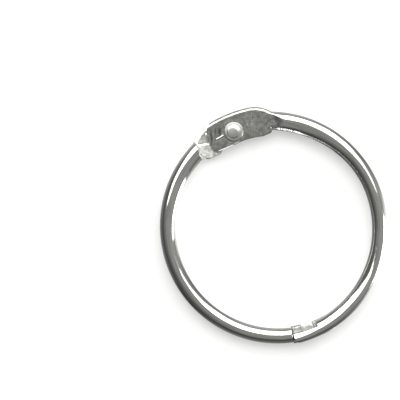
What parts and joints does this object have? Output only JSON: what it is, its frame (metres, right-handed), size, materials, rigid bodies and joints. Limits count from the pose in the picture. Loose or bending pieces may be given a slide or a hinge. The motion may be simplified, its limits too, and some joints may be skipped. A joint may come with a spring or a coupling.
{
  "type": "binder ring",
  "caption": "Hinged metal binder ring: half rings of round wire on a rivet, with a snap closure, for holding punched sheets, tags or samples together.",
  "frame": {"origin": "middle of the closed ring, on the wire's middle plane", "axes": "+Z out of the front face, on which the rivet's domed head sits; +Y from the middle of the ring towards the rivet; +X towards the half with the front leaf"},
  "size_m": [0.044, 0.0465, 0.0034],
  "materials": {
    "plated_wire": "bright nickel plating on steel wire",
    "plated_rivet": "bright nickel plating on a steel rivet"
  },
  "bodies": {
    "catch_side": {"catch_half": "plated_wire", "hinge_rivet": "plated_rivet"},
    "plug_side": {"plug_half": "plated_wire"}
  },
  "joints": [
    {"name": "hinge_swing", "type": "hinge", "parent": "catch_side", "child": "plug_side", "pos_m": [0, 0.02008, 0], "axis": [0, 0, -1], "range_deg": [0, 160]}
  ]
}
